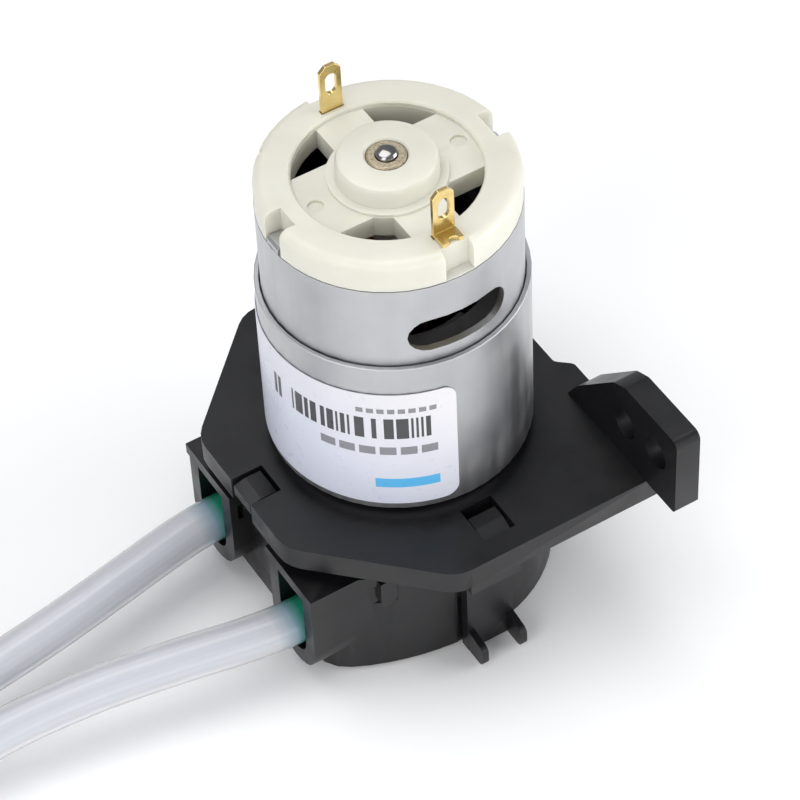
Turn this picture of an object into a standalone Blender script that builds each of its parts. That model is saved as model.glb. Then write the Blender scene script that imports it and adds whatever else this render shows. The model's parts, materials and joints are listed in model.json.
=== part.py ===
"""Small peristaltic pump: a brushed DC motor on a plastic mounting plate, with a clip-on pump head below it.

The motor stands on end. Its shaft carries a drive sleeve, the sun of a friction planetary drive: three rollers
roll on the sleeve and on the flattened pump tube, and carry the roller cage round at a slower speed.

Origin: motor axis at the underside of the pump head. +Z up the motor, -X the way the two tubes leave.
Lengths below are millimetres, turned into metres when a mesh is made.
"""
import math

import bmesh
import bpy
from mathutils import Matrix, Vector

MM = 0.001

# ---------------------------------------------------------------- clearances
SEAT = 0.1            # between two pieces that rest on each other
RUN = 0.15            # between a turning piece and what it turns in or beside
SHAFT_FIT = 0.05      # radial, pieces on the shaft and pins in their bores

# ---------------------------------------------------------------- main sizes, which the rest follow
PLATE_TOP = 21.0      # height of the plate's upper face
PLATE_T = 3.0
PLATE_BOTTOM = PLATE_TOP - PLATE_T
HEAD_R = 16.4         # outer radius of the pump head's cup
CAN_R = 13.85         # outer radius of the motor can
CAN_LENGTH = 33.7

# ---------------------------------------------------------------- pump head
HEAD_LEFT_A = HEAD_R + 7.6    # long half axis of the outline's left side
HEAD_LEFT = -HEAD_R - 0.5
HEAD_FLOOR = 2.0
TRACK_R = HEAD_R - 2.5
LID_TOP = PLATE_BOTTOM - 2.2
LID_T = 1.5
LID_OVERHANG = 0.3
LID_BOTTOM = LID_TOP - LID_T
HEAD_TOP = LID_BOTTOM - SEAT
CLIP_X = (-12.1, -10.1)       # the cover's small side clips
CLIP_BOTTOM = LID_BOTTOM - 2.9
CLIP_SEAT_Y = 14.0

# drive
SUN_R = 3.25
ROLLER_Z = (HEAD_FLOOR + 1.7, LID_BOTTOM - 2.8)
ROLLER_COUNT = 3
TUBE_FLAT_T = 2.0         # two pressed walls of 1 mm
TUBE_FLAT_H = ROLLER_Z[1] - ROLLER_Z[0] - 0.5
TUBE_MID_R = TRACK_R - SEAT - TUBE_FLAT_T / 2
ROLLER_R = (TUBE_MID_R - TUBE_FLAT_T / 2 - SEAT - SUN_R - SHAFT_FIT) / 2
ORBIT_R = SUN_R + SHAFT_FIT + ROLLER_R
PIN_R = 1.0
CAGE_R = ORBIT_R + ROLLER_R - 0.5
CAGE_T = 1.2

# ports, hoses and connectors
HOSE_R = 2.5              # 5 mm outside, 3 mm bore
HOSE_BORE_R = 1.5
HOSE_Z = (ROLLER_Z[0] + ROLLER_Z[1]) / 2
HOSE_STEP = 11.0          # between points read along an outlet hose
HOSE_GAP = 0.2            # between an outlet hose and its connector's collar
PORT_Y = 8.7
PORT_LEFT = HEAD_LEFT - 2.7
PORT_ROOT_X = -13.0
PORT_WIDTH = 9.0
PORT_CENTRE_Z = HOSE_Z - 1.1
SLOT_WIDTH = 5.2
COLLAR_R = 3.2
COLLAR_X = (PORT_LEFT + 2.2, PORT_LEFT + 3.6)
STUB_LENGTH = 1.5
GRIP_HALF_WIDTH = 2.3     # a connector's grip, standing up from its collar
GRIP_TOP = LID_BOTTOM - 0.8
LEG_KNEE_X = 4.9 - HEAD_R     # where a leg's two directions meet
LEG_STEPS = 7
LEG_ROOM = 0.2

# an outlet hose's middle line, from its connector: (away, towards the other hose, up)
HOSE_RUN = ((0.0, 0.0, 0.0), (2.9, 0.05, 0.0), (7.4, 0.6, 0.0), (15.4, 2.2, 0.0), (24.4, 3.8, -0.2),
            (34.4, 4.8, -0.8), (44.4, 4.7, -2.0), (54.4, 3.4, -3.4), (64.4, 0.8, -4.5), (74.4, -2.9, -5.0),
            (82.4, -6.7, -5.0))

# latches
LATCH_HALF_WIDTH = 2.9
LATCH_T = 1.3
LATCH_BACK_Y = HEAD_R - 0.1
LATCH_FRONT_Y = LATCH_BACK_Y + LATCH_T
LATCH_BOTTOM = 0.3
LATCH_PIVOT_Z = 9.0
LATCH_RIB_REACH = 2.9
LATCH_RIB_T = 0.8
LATCH_RIB_TOP = 3.1
LATCH_TRAVEL = 1.2        # room for the hook to swing in
HOOK_HALF_WIDTH = 1.7
HOOK_TOP = PLATE_TOP - 0.4
HOOK_REACH = 2.0
HOOK_LIP = 0.3
HOOK_RIDGE = 0.3
LEDGE_DEPTH = 1.5         # catch ledge below the plate's top

# ---------------------------------------------------------------- mounting plate
PLATE_LEFT = HEAD_LEFT - 3.2
PLATE_RIGHT = HEAD_R + 3.5
PLATE_STEP_X = PLATE_RIGHT - 1.7  # relieved middle of the right edge
PLATE_STEP_Y = 2.7
PLATE_HALF_Y = LATCH_FRONT_Y + 5.0
PLATE_CHAMFER_X = -6.8        # where the slanted corner meets the long side
PLATE_CHAMFER_Y = 9.3         # where it meets the left side
PLATE_CORNER_R = 4.0
CENTRE_HOLE_R = 5.3
TONGUE_HALF_WIDTH = 1.75      # the cover's tongue, in the plate's left notch
TONGUE_X = (PLATE_LEFT + 0.1, PLATE_LEFT + 3.4)
TONGUE_STEM_X = PLATE_LEFT + 1.9

# mounting feet, one on each long side, standing up from the right edge
FOOT_T = 3.0
FOOT_TOP = PLATE_TOP + 10.9
FOOT_END_Y = PLATE_HALF_Y + 5.3   # outer end, past the plate's long side
FOOT_FLAT_Y = PLATE_HALF_Y - 4.2  # where the sloping edge reaches the flat top
FOOT_SLOPE_Y = 9.4            # foot of the slope
FOOT_SLOPE_Z = PLATE_TOP + 3.0
FOOT_ROOT_Y = 7.4
FOOT_HOLE_R = 1.9
FOOT_HOLES = ((PLATE_HALF_Y - 4.2, PLATE_TOP + 5.3), (PLATE_HALF_Y + 1.5, PLATE_TOP + 6.0))   # (y, z)

# ---------------------------------------------------------------- motor
CAN_WALL = 0.8
CAN_BOTTOM = PLATE_TOP + SEAT
CAN_TOP = CAN_BOTTOM + CAN_LENGTH
CAN_BORE_R = CAN_R - CAN_WALL
CAN_CORNER_R = 1.0
CAN_BOSS_R = 4.9
CAN_BOSS_DROP = 1.9           # front boss, below the can's flat end
CAN_SLOT_Z = CAN_TOP - 6.9
CAN_SLOT_LENGTH = 11.6
CAN_SLOT_HEIGHT = 4.4
CRIMP_R = CAN_R - 2.05        # inner end of the notches for the can's crimp tabs
RING_R = CAN_R + 0.65         # outer radius of the flux ring
RING_BOTTOM = PLATE_TOP + 1.4
RING_TOP = CAN_TOP - 10.7
RING_SEAM = 1.2               # width of the open seam, at the back
LABEL_T = 0.1
LABEL_BOTTOM = RING_BOTTOM + 1.0
LABEL_TOP = RING_TOP - 3.7
LABEL_FROM = -96.0            # degrees round the axis
LABEL_TO = -246.0
MAGNET_R = CAN_BORE_R - 0.15
MAGNET_BORE_R = MAGNET_R - 2.3
MAGNET_Z = (PLATE_TOP + 4.0, CAN_TOP - 9.8)
MAGNET_HALF_ANGLE = 60.0
SPRING_T = 0.5                # the two springs between the magnets
SPRING_HALF_ANGLE = 26.0
SHAFT_R = 1.15
SHAFT_BOTTOM = HEAD_FLOOR + 0.6
BEARING_R = 2.95
BEARING_LIP = 0.7
FRONT_BEARING_T = 2.9
CORE_R = MAGNET_BORE_R - 0.5
CORE_Z = (PLATE_TOP + 6.0, CAN_TOP - 11.8)
CORE_HUB_R = 3.0
POLE_HALF_WIDTH = 1.6
POLE_SHOE_T = 1.3
POLE_HALF_ANGLE = 50.0
COIL_OVERHANG = 1.8
COIL_SIDE = 1.7
COIL_FROM_R = 3.3
COIL_TO_R = CORE_R - 2.4
COMMUTATOR_R = 3.5
COMMUTATOR_CORE_R = 2.6
COMMUTATOR_Z = (CAN_TOP - 8.8, CAN_TOP - 4.2)
BRUSH_LENGTH = 2.1
BRUSH_WIDTH = 2.6
BRUSH_Z = (CAN_TOP - 7.2, CAN_TOP - 4.9)
BRUSH_X = COMMUTATOR_R + SEAT + BRUSH_LENGTH + SEAT   # back of a brush, where its arm bears
ARM_T = 0.35
SCREW_PITCH_R = 8.0
SCREW_R = 1.25
SCREW_HEAD_R = 2.1
SCREW_HEAD_T = 1.4

# end cap and terminals
CAP_R = CAN_R - 0.05
CAP_TOP = CAN_TOP + 3.7
CAP_PLUG_R = CAN_BORE_R - 0.1
CAP_FLOOR = (CAN_TOP + 0.6, CAN_TOP + 3.1)
CAP_RECESS_R = CAN_R - 3.95
CAP_STEP_R = 6.3
CAP_HUB_R = 5.3
CAP_HUB_TOP = CAN_TOP + 5.8
CAP_BEARING_R = 2.15
CAP_WEB_X = 4.6               # half width of the webs along X
CAP_WEB_Y = 2.8               # half width of the webs along Y
CAP_DIMPLE_X = 8.5
BEARING_SEAT = CAP_FLOOR[0] - 2.2
SHAFT_TOP = CAP_HUB_TOP + 0.7
TERMINAL_X = -0.1
TERMINAL_Y = CAN_R - 3.05
TERMINAL_T = 0.5
TERMINAL_WIDTH = 2.5
TERMINAL_TOP = CAP_TOP + 6.1
TERMINAL_FOOT = 1.7           # length of the foot bent out over the rim

ROUND = 48                    # facets of the large round pieces


# ================================================================ small tools
def clear_scene():
    for thing in list(bpy.data.objects):
        bpy.data.objects.remove(thing, do_unlink=True)


def material(name, colour, roughness, metallic=0.0, alpha=1.0):
    made = bpy.data.materials.new(name)
    made.use_nodes = True
    shader = made.node_tree.nodes["Principled BSDF"]
    shader.inputs["Base Color"].default_value = (*colour, 1.0)
    shader.inputs["Roughness"].default_value = roughness
    shader.inputs["Metallic"].default_value = metallic
    shader.inputs["Alpha"].default_value = alpha
    made.diffuse_color = (*colour, 1.0)
    return made


def empty(name, location=(0.0, 0.0, 0.0), parent=None):
    axis = bpy.data.objects.new(name, None)
    axis.location = [value * MM for value in location]
    axis.parent = parent
    bpy.context.collection.objects.link(axis)
    return axis


def mesh_object(name, shape, parent=None):
    mesh = bpy.data.meshes.new(name)
    shape.to_mesh(mesh)
    shape.free()
    thing = bpy.data.objects.new(name, mesh)
    thing.parent = parent
    bpy.context.collection.objects.link(thing)
    return thing


def helper(name, shape, parent):
    """A cutter or an addition: kept out of the model itself."""
    guide = mesh_object(name, shape, parent)
    guide.hide_render = True
    guide.display_type = 'WIRE'
    return guide


def piece(name, shape, finish, add=None, cut=None, parent=None):
    """One sub-part, with what is joined to it and cut from it."""
    made = mesh_object(name, shape, parent)
    made.data.materials.append(finish)
    for word, operation, other in (("add", 'UNION', add), ("cut", 'DIFFERENCE', cut)):
        if other:
            guide = helper(f"{name}.{word}", together(other), parent)
            boolean = made.modifiers.new(word, 'BOOLEAN')
            boolean.operation = operation
            boolean.solver = 'EXACT'
            boolean.object = guide
    made.data.shade_smooth()
    made.data.set_sharp_from_angle(angle=math.radians(35))
    return made


def together(shapes):
    """Several closed shapes, clear of each other, in one mesh."""
    whole = bmesh.new()
    for shape in shapes:
        part = bpy.data.meshes.new("part")
        shape.to_mesh(part)
        shape.free()
        whole.from_mesh(part)
        bpy.data.meshes.remove(part)
    return whole


# ================================================================ shapes
def turned(profile, segments=48, centre=(0.0, 0.0)):
    """Turn a closed outline of (radius, height) about the vertical through centre."""
    shape = bmesh.new()
    points = [shape.verts.new((r * MM, 0.0, z * MM)) for r, z in profile]
    for first, second in zip(points, points[1:] + points[:1]):
        on_axis = first.co.x == 0.0 and second.co.x == 0.0
        if not on_axis:
            shape.edges.new((first, second))
    bmesh.ops.spin(shape, geom=shape.verts[:] + shape.edges[:], cent=(0, 0, 0), axis=(0, 0, 1),
                   angle=2 * math.pi, steps=segments, use_merge=True)
    bmesh.ops.remove_doubles(shape, verts=shape.verts, dist=1e-7)
    bmesh.ops.recalc_face_normals(shape, faces=shape.faces)
    bmesh.ops.translate(shape, verts=shape.verts, vec=(centre[0] * MM, centre[1] * MM, 0.0))
    return shape


def prism(outline, low, high, across=0):
    """Extrude a flat outline. across: 0 = (x, y) along Z, 1 = (x, z) along Y, 2 = (y, z) along X."""
    shape = bmesh.new()
    places = {0: lambda a, b, c: (a, b, c), 1: lambda a, b, c: (a, c, b), 2: lambda a, b, c: (c, a, b)}
    corners = [shape.verts.new(Vector(places[across](a, b, low)) * MM) for a, b in outline]
    face = shape.faces.new(corners)
    grown = bmesh.ops.extrude_face_region(shape, geom=[face])
    moved = [item for item in grown["geom"] if isinstance(item, bmesh.types.BMVert)]
    bmesh.ops.translate(shape, verts=moved, vec=Vector(places[across](0, 0, high - low)) * MM)
    bmesh.ops.recalc_face_normals(shape, faces=shape.faces)
    return shape


def block(x, y, z):
    """A box from (low, high) along each axis."""
    return prism([(x[0], y[0]), (x[1], y[0]), (x[1], y[1]), (x[0], y[1])], *z)


def rod(radius, z, segments=24, centre=(0.0, 0.0)):
    return turned([(0, z[0]), (radius, z[0]), (radius, z[1]), (0, z[1])], segments, centre)


def sleeve(outer, inner, z, segments=48):
    return turned([(inner, z[0]), (outer, z[0]), (outer, z[1]), (inner, z[1])], segments)


def arc(radius, start, end, steps, centre=(0.0, 0.0)):
    """Points on an arc, angles in degrees."""
    angles = [math.radians(start + (end - start) * step / steps) for step in range(steps + 1)]
    return [(centre[0] + radius * math.cos(a), centre[1] + radius * math.sin(a)) for a in angles]


def arc_bar(inner, outer, start, end, z, steps=16):
    """A curved bar: a stretch of a thick ring."""
    return prism(arc(outer, start, end, steps) + arc(inner, end, start, steps), *z)


def rounded(corners):
    """An outline from (x, y, corner radius), each corner an arc."""
    outline = []
    count = len(corners)
    for index, (x, y, radius) in enumerate(corners):
        here = Vector((x, y))
        before = (Vector(corners[index - 1][:2]) - here).normalized()
        after = (Vector(corners[(index + 1) % count][:2]) - here).normalized()
        if radius == 0.0:
            outline.append((x, y))
            continue
        half = before.angle(after) / 2
        reach = radius / math.tan(half)
        centre = here + (before + after).normalized() * (radius / math.sin(half))
        start = here + before * reach - centre
        end = here + after * reach - centre
        steps = max(2, round(math.degrees(start.angle(end)) / 15))
        for step in range(steps + 1):
            spoke = start.slerp(end, step / steps)
            outline.append(tuple(centre + spoke * radius))
    return outline


def stadium(half_length, radius, centre, steps=8):
    """A slot outline with round ends."""
    x, y = centre
    return arc(radius, -90, 90, steps, (x + half_length, y)) + arc(radius, 90, 270, steps, (x - half_length, y))


def turn(shape, degrees, axis='Z'):
    bmesh.ops.rotate(shape, verts=shape.verts, cent=(0, 0, 0), matrix=Matrix.Rotation(math.radians(degrees), 3, axis))
    return shape


def flip_y(outline):
    return [(x, -y) for x, y in reversed(outline)]


# ================================================================ mounting plate
def plate_outline():
    left, right, side = PLATE_LEFT, PLATE_RIGHT, PLATE_HALF_Y
    step_x, step_y = PLATE_STEP_X, PLATE_STEP_Y
    lower = [(step_x, -step_y, 0.8), (right, -step_y - 1.5, 0.8), (right, -side, 1.0),
             (PLATE_CHAMFER_X, -side, PLATE_CORNER_R), (left, -PLATE_CHAMFER_Y, PLATE_CORNER_R)]
    upper = [(x, -y, radius) for x, y, radius in reversed(lower)]
    return rounded(lower + upper)


def foot_outline(side):
    """A foot's (y, z) outline; side is -1 at the front and +1 at the back."""
    low = PLATE_TOP - 0.15
    root = PLATE_TOP - 1.0
    points = [(FOOT_ROOT_Y, root, 0.0), (FOOT_ROOT_Y, PLATE_TOP, 0.0), (FOOT_SLOPE_Y, FOOT_SLOPE_Z, 2.0),
              (FOOT_FLAT_Y - 2.2, FOOT_TOP - 1.0, 2.0), (FOOT_FLAT_Y, FOOT_TOP, 1.5),
              (FOOT_END_Y, FOOT_TOP, 1.0), (FOOT_END_Y, low, 0.6), (PLATE_HALF_Y - 0.5, low, 0.0),
              (PLATE_HALF_Y - 0.5, root, 0.0)]
    return rounded([(side * y, z, radius) for y, z, radius in points])


def make_plate(black):
    window = HOOK_HALF_WIDTH + 0.25
    inner = LATCH_BACK_Y - LATCH_TRAVEL
    outer = LATCH_FRONT_Y + HOOK_REACH + 0.4
    ledge = LATCH_FRONT_Y + HOOK_REACH - 0.9
    tongue = TONGUE_HALF_WIDTH + 0.35
    low, high = PLATE_BOTTOM - 2.0, PLATE_TOP + 0.5
    added, cuts = [], [rod(CENTRE_HOLE_R, (low, high), 48)]
    for side in (-1, 1):
        added.append(prism(foot_outline(side), PLATE_RIGHT - FOOT_T, PLATE_RIGHT - 0.02, across=2))
        catch = sorted((side * (ledge + 0.3), side * (PLATE_HALF_Y - 0.02)))
        added.append(block((-5.3, 0.9), catch, (PLATE_BOTTOM - 1.2, PLATE_BOTTOM + 0.5)))
        upper = sorted((side * inner, side * outer))
        lower = sorted((side * inner, side * ledge))
        cuts.append(window_cut(window, upper, lower, low, high))
        for y, z in FOOT_HOLES:
            hole = arc(FOOT_HOLE_R, 0, 345, 23, (side * y, z))
            cuts.append(prism(hole, PLATE_RIGHT - FOOT_T - 1, PLATE_RIGHT + 1, across=2))
        cuts.append(rod_step(side * SCREW_PITCH_R))
    cuts.append(block((PLATE_LEFT - 1, TONGUE_X[1] + 0.4), (-tongue, tongue), (low, high)))
    piece("mounting_plate", prism(plate_outline(), PLATE_BOTTOM, PLATE_TOP), black, added, cuts)


def window_cut(half, upper, lower, low, high):
    """The hook window: full depth inside, a ledge along its outer side."""
    ledge = PLATE_TOP - LEDGE_DEPTH
    inner = upper[0] if abs(upper[0]) < abs(upper[1]) else upper[1]
    outer = upper[1] if inner == upper[0] else upper[0]
    step = lower[1] if inner == lower[0] else lower[0]
    outline = [(inner, low), (step, low), (step, ledge), (outer, ledge), (outer, high), (inner, high)]
    return prism(outline, -half, half, across=2)


def rod_step(x):
    """A screw's clearance hole with its head recess below."""
    recess = PLATE_BOTTOM + SCREW_HEAD_T + SEAT
    outer = SCREW_HEAD_R + 0.2
    inner = SCREW_R + 0.2
    return turned([(0, PLATE_BOTTOM - 1), (outer, PLATE_BOTTOM - 1), (outer, recess), (inner, recess),
                   (inner, PLATE_TOP + 1), (0, PLATE_TOP + 1)], 20, (x, 0))


# ================================================================ motor, standing parts
def make_can(steel):
    base, boss = CAN_BOTTOM, CAN_BOTTOM - CAN_BOSS_DROP
    floor = base + CAN_WALL
    corner = [(r, z) for r, z in arc(CAN_CORNER_R, -90, 0, 4, (CAN_R - CAN_CORNER_R, base + CAN_CORNER_R))]
    bore = BEARING_R + SHAFT_FIT
    profile = [(SHAFT_R + 0.45, boss), (CAN_BOSS_R, boss), (CAN_BOSS_R, base)] + corner
    profile += [(CAN_R, CAN_TOP), (CAN_BORE_R, CAN_TOP), (CAN_BORE_R, floor), (bore, floor),
                (bore, boss + BEARING_LIP), (SHAFT_R + 0.45, boss + BEARING_LIP)]
    slot = stadium((CAN_SLOT_LENGTH - CAN_SLOT_HEIGHT) / 2, CAN_SLOT_HEIGHT / 2, (0, CAN_SLOT_Z))
    cuts = [prism(slot, -CAN_R - 1, -CAN_R + 3, across=1), prism(slot, CAN_R - 3, CAN_R + 1, across=1)]
    added = []
    for side in (-1, 1):
        cuts.append(rod(SCREW_R + SHAFT_FIT, (base - 0.5, floor + 0.5), 16, (side * SCREW_PITCH_R, 0)))
        added.append(crimp(side))
    piece("motor_can", turned(profile, ROUND), steel, added, cuts)


def crimp(side):
    """A tab of the rim, bent in over the end cap."""
    low, high = CAN_TOP - 0.5, CAN_TOP + 0.9
    out, back = CAN_R - 0.1, CAN_BORE_R + 0.15
    tip = CRIMP_R + SEAT
    outline = [(back, low), (out, low), (out, high - 0.3), (out - 0.3, high), (tip, high - 0.15),
               (tip, high - 0.65), (back, high - 0.65)]
    return prism([(side * x, z) for x, z in outline], -1.1, 1.1, across=1)


def make_ring(steel):
    seam = math.degrees(RING_SEAM / RING_R) / 2
    inner = CAN_R + SEAT
    bar = arc_bar(inner, RING_R, 90 + seam, 450 - seam, (RING_BOTTOM, RING_TOP), ROUND)
    piece("flux_ring", bar, steel)


def make_label(paper):
    inner = RING_R + 0.05
    bar = arc_bar(inner, inner + LABEL_T, LABEL_FROM, LABEL_TO, (LABEL_BOTTOM, LABEL_TOP), 28)
    piece("label", bar, paper)


def make_magnets(ferrite, spring):
    half = MAGNET_HALF_ANGLE
    for name, middle in (("magnet_front", -90), ("magnet_back", 90)):
        piece(name, arc_bar(MAGNET_BORE_R, MAGNET_R, middle - half, middle + half, MAGNET_Z), ferrite)
    outer = MAGNET_R - SEAT
    for name, middle in (("magnet_clip_left", 180), ("magnet_clip_right", 0)):
        bar = arc_bar(outer - SPRING_T, outer, middle - SPRING_HALF_ANGLE, middle + SPRING_HALF_ANGLE,
                      (MAGNET_Z[0] + 1, MAGNET_Z[1] - 1), 8)
        piece(name, bar, spring)


def make_bearings(bronze):
    base = CAN_BOTTOM - CAN_BOSS_DROP + BEARING_LIP + SEAT
    bore = SHAFT_R + SHAFT_FIT
    piece("front_bearing", sleeve(BEARING_R, bore, (base, base + FRONT_BEARING_T), 24), bronze)
    low, high = BEARING_SEAT + 0.8, CAP_HUB_TOP
    edge = CAP_BEARING_R - 0.2
    profile = [(bore, low), (CAP_BEARING_R, low), (CAP_BEARING_R, high - 0.2), (edge, high), (bore, high)]
    piece("rear_bearing", turned(profile, 24), bronze)


def cap_window(quarter):
    """One opening between two webs; quarter counts round from +X +Y."""
    inner, outer = CAP_STEP_R + 0.1, CAP_RECESS_R - 0.05
    along = math.degrees(math.asin(CAP_WEB_X / outer))
    across = 90 - math.degrees(math.asin(CAP_WEB_Y / outer))
    far = arc(outer, along, across, 8)
    near_x = math.degrees(math.asin(CAP_WEB_X / inner))
    near_y = 90 - math.degrees(math.asin(CAP_WEB_Y / inner))
    near = arc(inner, near_y, near_x, 4)
    signs = ((1, 1), (-1, 1), (-1, -1), (1, -1))[quarter]
    outline = [(x * signs[0], y * signs[1]) for x, y in far + near]
    return prism(outline, CAP_FLOOR[0] - 0.5, CAP_FLOOR[1] + 1.0)


def make_cap(nylon):
    floor_low, floor_high = CAP_FLOOR
    seat = CAN_TOP + SEAT
    plug_low = seat - 2.5
    bore = CAP_BEARING_R + SHAFT_FIT
    plug_in = CAP_PLUG_R - 1.1
    edge = arc(1.0, 0, 90, 4, (CAP_R - 1.0, CAP_TOP - 1.0))
    profile = [(bore, BEARING_SEAT), (3.6, BEARING_SEAT), (3.6, floor_low), (plug_in, floor_low),
               (plug_in, plug_low), (CAP_PLUG_R, plug_low), (CAP_PLUG_R, seat), (CAP_R, seat)] + edge
    profile += [(CAP_RECESS_R + 0.2, CAP_TOP), (CAP_RECESS_R, CAP_TOP - 0.2), (CAP_RECESS_R, floor_high),
                (CAP_STEP_R, floor_high), (CAP_STEP_R, floor_high + 0.3), (CAP_HUB_R + 0.1, floor_high + 0.3),
                (CAP_HUB_R, CAP_HUB_TOP - 0.7), (CAP_HUB_R - 0.2, CAP_HUB_TOP - 0.2),
                (CAP_HUB_R - 0.7, CAP_HUB_TOP), (bore + 0.2, CAP_HUB_TOP), (bore, CAP_HUB_TOP - 0.2)]
    cuts = [cap_window(quarter) for quarter in range(4)]
    half = TERMINAL_WIDTH / 2 + SEAT
    thick = TERMINAL_T / 2 + SEAT
    for side in (-1, 1):
        slot = sorted((side * (TERMINAL_Y - thick), side * (TERMINAL_Y + thick)))
        cuts.append(block((TERMINAL_X - half, TERMINAL_X + half), slot, (plug_low - 1, CAP_TOP + 1)))
        relief = sorted((side * (TERMINAL_Y + TERMINAL_FOOT + 0.1), side * (CAP_R + 1)))
        cuts.append(block((-1.65, 1.65), relief, (seat + 0.1, CAP_TOP + 1)))
        cuts.append(rod(0.9, (floor_high - 0.3, floor_high + 1), 16, (side * CAP_DIMPLE_X, 0)))
    cuts.append(block((-CAP_R - 1, -CRIMP_R), (-1.6, 1.3), (seat - 0.03, CAP_TOP + 1)))
    cuts.append(block((CRIMP_R, CAP_R + 1), (-2.2, 1.6), (seat - 0.03, CAP_TOP + 1)))
    key = block((CAP_R - 0.6, CAP_R + 1), (-0.7, 0.7), (CAP_TOP - 1.0, CAP_TOP + 1))
    cuts.append(turn(key, 134))
    piece("end_cap", turned(profile, ROUND), nylon, None, cuts)


def terminal_outline():
    """A terminal's outline, looking along Y: its lower end goes down into the motor."""
    half, top, low = TERMINAL_WIDTH / 2, TERMINAL_TOP, BRUSH_Z[0]
    chamfer = 0.7
    return [(-half, low), (half, low), (half, top - chamfer), (half - chamfer, top),
            (-half + chamfer, top), (-half, top - chamfer)]


def make_terminals(brass, carbon):
    low, high = TERMINAL_Y - TERMINAL_T / 2, TERMINAL_Y + TERMINAL_T / 2
    half = TERMINAL_WIDTH / 2
    rest = CAP_TOP + 0.05
    for name, side in (("back", 1), ("front", -1)):
        facing = 0 if side == 1 else 180
        tab = prism(terminal_outline(), *sorted((side * low, side * high)), across=1)
        reach = sorted((side * (high - 0.1), side * (high + TERMINAL_FOOT)))
        foot = block((-half, half), reach, (rest, rest + TERMINAL_T))
        eye = [(z, x) for x, z in stadium(0.7, 0.65, (TERMINAL_TOP - 2.5, 0))]
        hole = prism(eye, side * TERMINAL_Y - 1, side * TERMINAL_Y + 1, across=1)
        nick = rod(0.6, (CAP_TOP - 1, CAP_TOP + 1.5), 16, (0.1, side * (high + TERMINAL_FOOT)))
        shapes = [tab, foot, hole, nick]
        for shape in shapes:
            bmesh.ops.translate(shape, verts=shape.verts, vec=(TERMINAL_X * MM, 0, 0))
        if side == -1:
            piece(f"terminal_{name}", tab, brass, [foot], [hole, nick])
        else:
            piece(f"terminal_{name}", tab, brass, None, [hole])
        path = [(-1.0, low - SEAT - ARM_T / 2), (1.6, low - SEAT - ARM_T / 2),
                (4.6, 9.2), (6.6, 6.4), (7.0, 3.2), (BRUSH_X + ARM_T / 2, 0.6), (BRUSH_X + ARM_T / 2, -1.7)]
        piece(f"brush_arm_{name}", turn(strip(path, ARM_T, BRUSH_Z), facing), brass)
        start = COMMUTATOR_R + SEAT
        body = block((start, start + BRUSH_LENGTH), (-BRUSH_WIDTH / 2, BRUSH_WIDTH / 2), BRUSH_Z)
        piece(f"brush_{name}", turn(body, facing), carbon)


def strip(path, thickness, z):
    """A bent strip of even thickness that follows a path in plan."""
    points = [Vector(point) for point in path]
    left, right = [], []
    for index, point in enumerate(points):
        before = points[max(index - 1, 0)]
        after = points[min(index + 1, len(points) - 1)]
        along = (after - before).normalized()
        side = Vector((-along.y, along.x)) * thickness / 2
        left.append(tuple(point + side))
        right.append(tuple(point - side))
    return prism(left + right[::-1], *z)


def make_screws(steel):
    for name, side in (("motor_screw_left", -1), ("motor_screw_right", 1)):
        low = PLATE_BOTTOM + SEAT
        high = CAN_BOTTOM + CAN_WALL + 1.0
        profile = [(0, low), (SCREW_HEAD_R - 0.3, low), (SCREW_HEAD_R, low + 0.4),
                   (SCREW_HEAD_R, low + SCREW_HEAD_T - SEAT), (SCREW_R, low + SCREW_HEAD_T - SEAT),
                   (SCREW_R, high - 0.3), (SCREW_R - 0.3, high), (0, high)]
        middle = side * SCREW_PITCH_R
        cross = [block((middle - 1.2, middle + 1.2), (-0.25, 0.25), (low - 0.5, low + 0.6))]
        piece(name, turned(profile, 20, (middle, 0)), steel, None, cross)


# ================================================================ motor, turning parts
def make_rotor(rotor, finishes):
    steel, iron, copper, moulding, brass = finishes
    bore = SHAFT_R + SHAFT_FIT
    dome = [(SHAFT_R * math.cos(math.radians(a)), SHAFT_TOP - 0.5 + 0.5 * math.sin(math.radians(a)))
            for a in (0, 30, 60)]
    shaft = [(0, SHAFT_BOTTOM), (SHAFT_R - 0.2, SHAFT_BOTTOM), (SHAFT_R, SHAFT_BOTTOM + 0.2)] + dome
    piece("motor_shaft", turned(shaft + [(0, SHAFT_TOP)], 24), steel, parent=rotor)
    core = prism(core_outline(), *CORE_Z)
    piece("armature_core", core, iron, None, [rod(bore, (CORE_Z[0] - 1, CORE_Z[1] + 1), 24)], rotor)
    for index in range(3):
        piece(f"winding_{index + 1}", turn(coil(), 120 * index), copper, None, [turn(coil_hole(), 120 * index)],
              rotor)
    low, high = COMMUTATOR_Z
    piece("commutator_core", sleeve(COMMUTATOR_CORE_R, bore, (low - 0.7, high + 0.4), 24), moulding, parent=rotor)
    for index in range(3):
        bar = arc_bar(COMMUTATOR_CORE_R + SHAFT_FIT, COMMUTATOR_R, -56, 56, COMMUTATOR_Z, 10)
        piece(f"commutator_bar_{index + 1}", turn(bar, 120 * index + 60), copper, parent=rotor)
    front_top = CAN_BOTTOM - CAN_BOSS_DROP + BEARING_LIP + SEAT + FRONT_BEARING_T
    piece("front_spacer", sleeve(2.0, bore, (front_top + RUN, CORE_Z[0] - SEAT), 24), moulding, parent=rotor)
    piece("rear_spacer", sleeve(2.0, bore, (high + 0.5, BEARING_SEAT - RUN), 24), moulding, parent=rotor)
    sun_low = ROLLER_Z[0] + 0.1
    piece("drive_sleeve", sleeve(SUN_R, bore, (sun_low, LID_BOTTOM - 0.7), 28), brass, parent=rotor)


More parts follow.
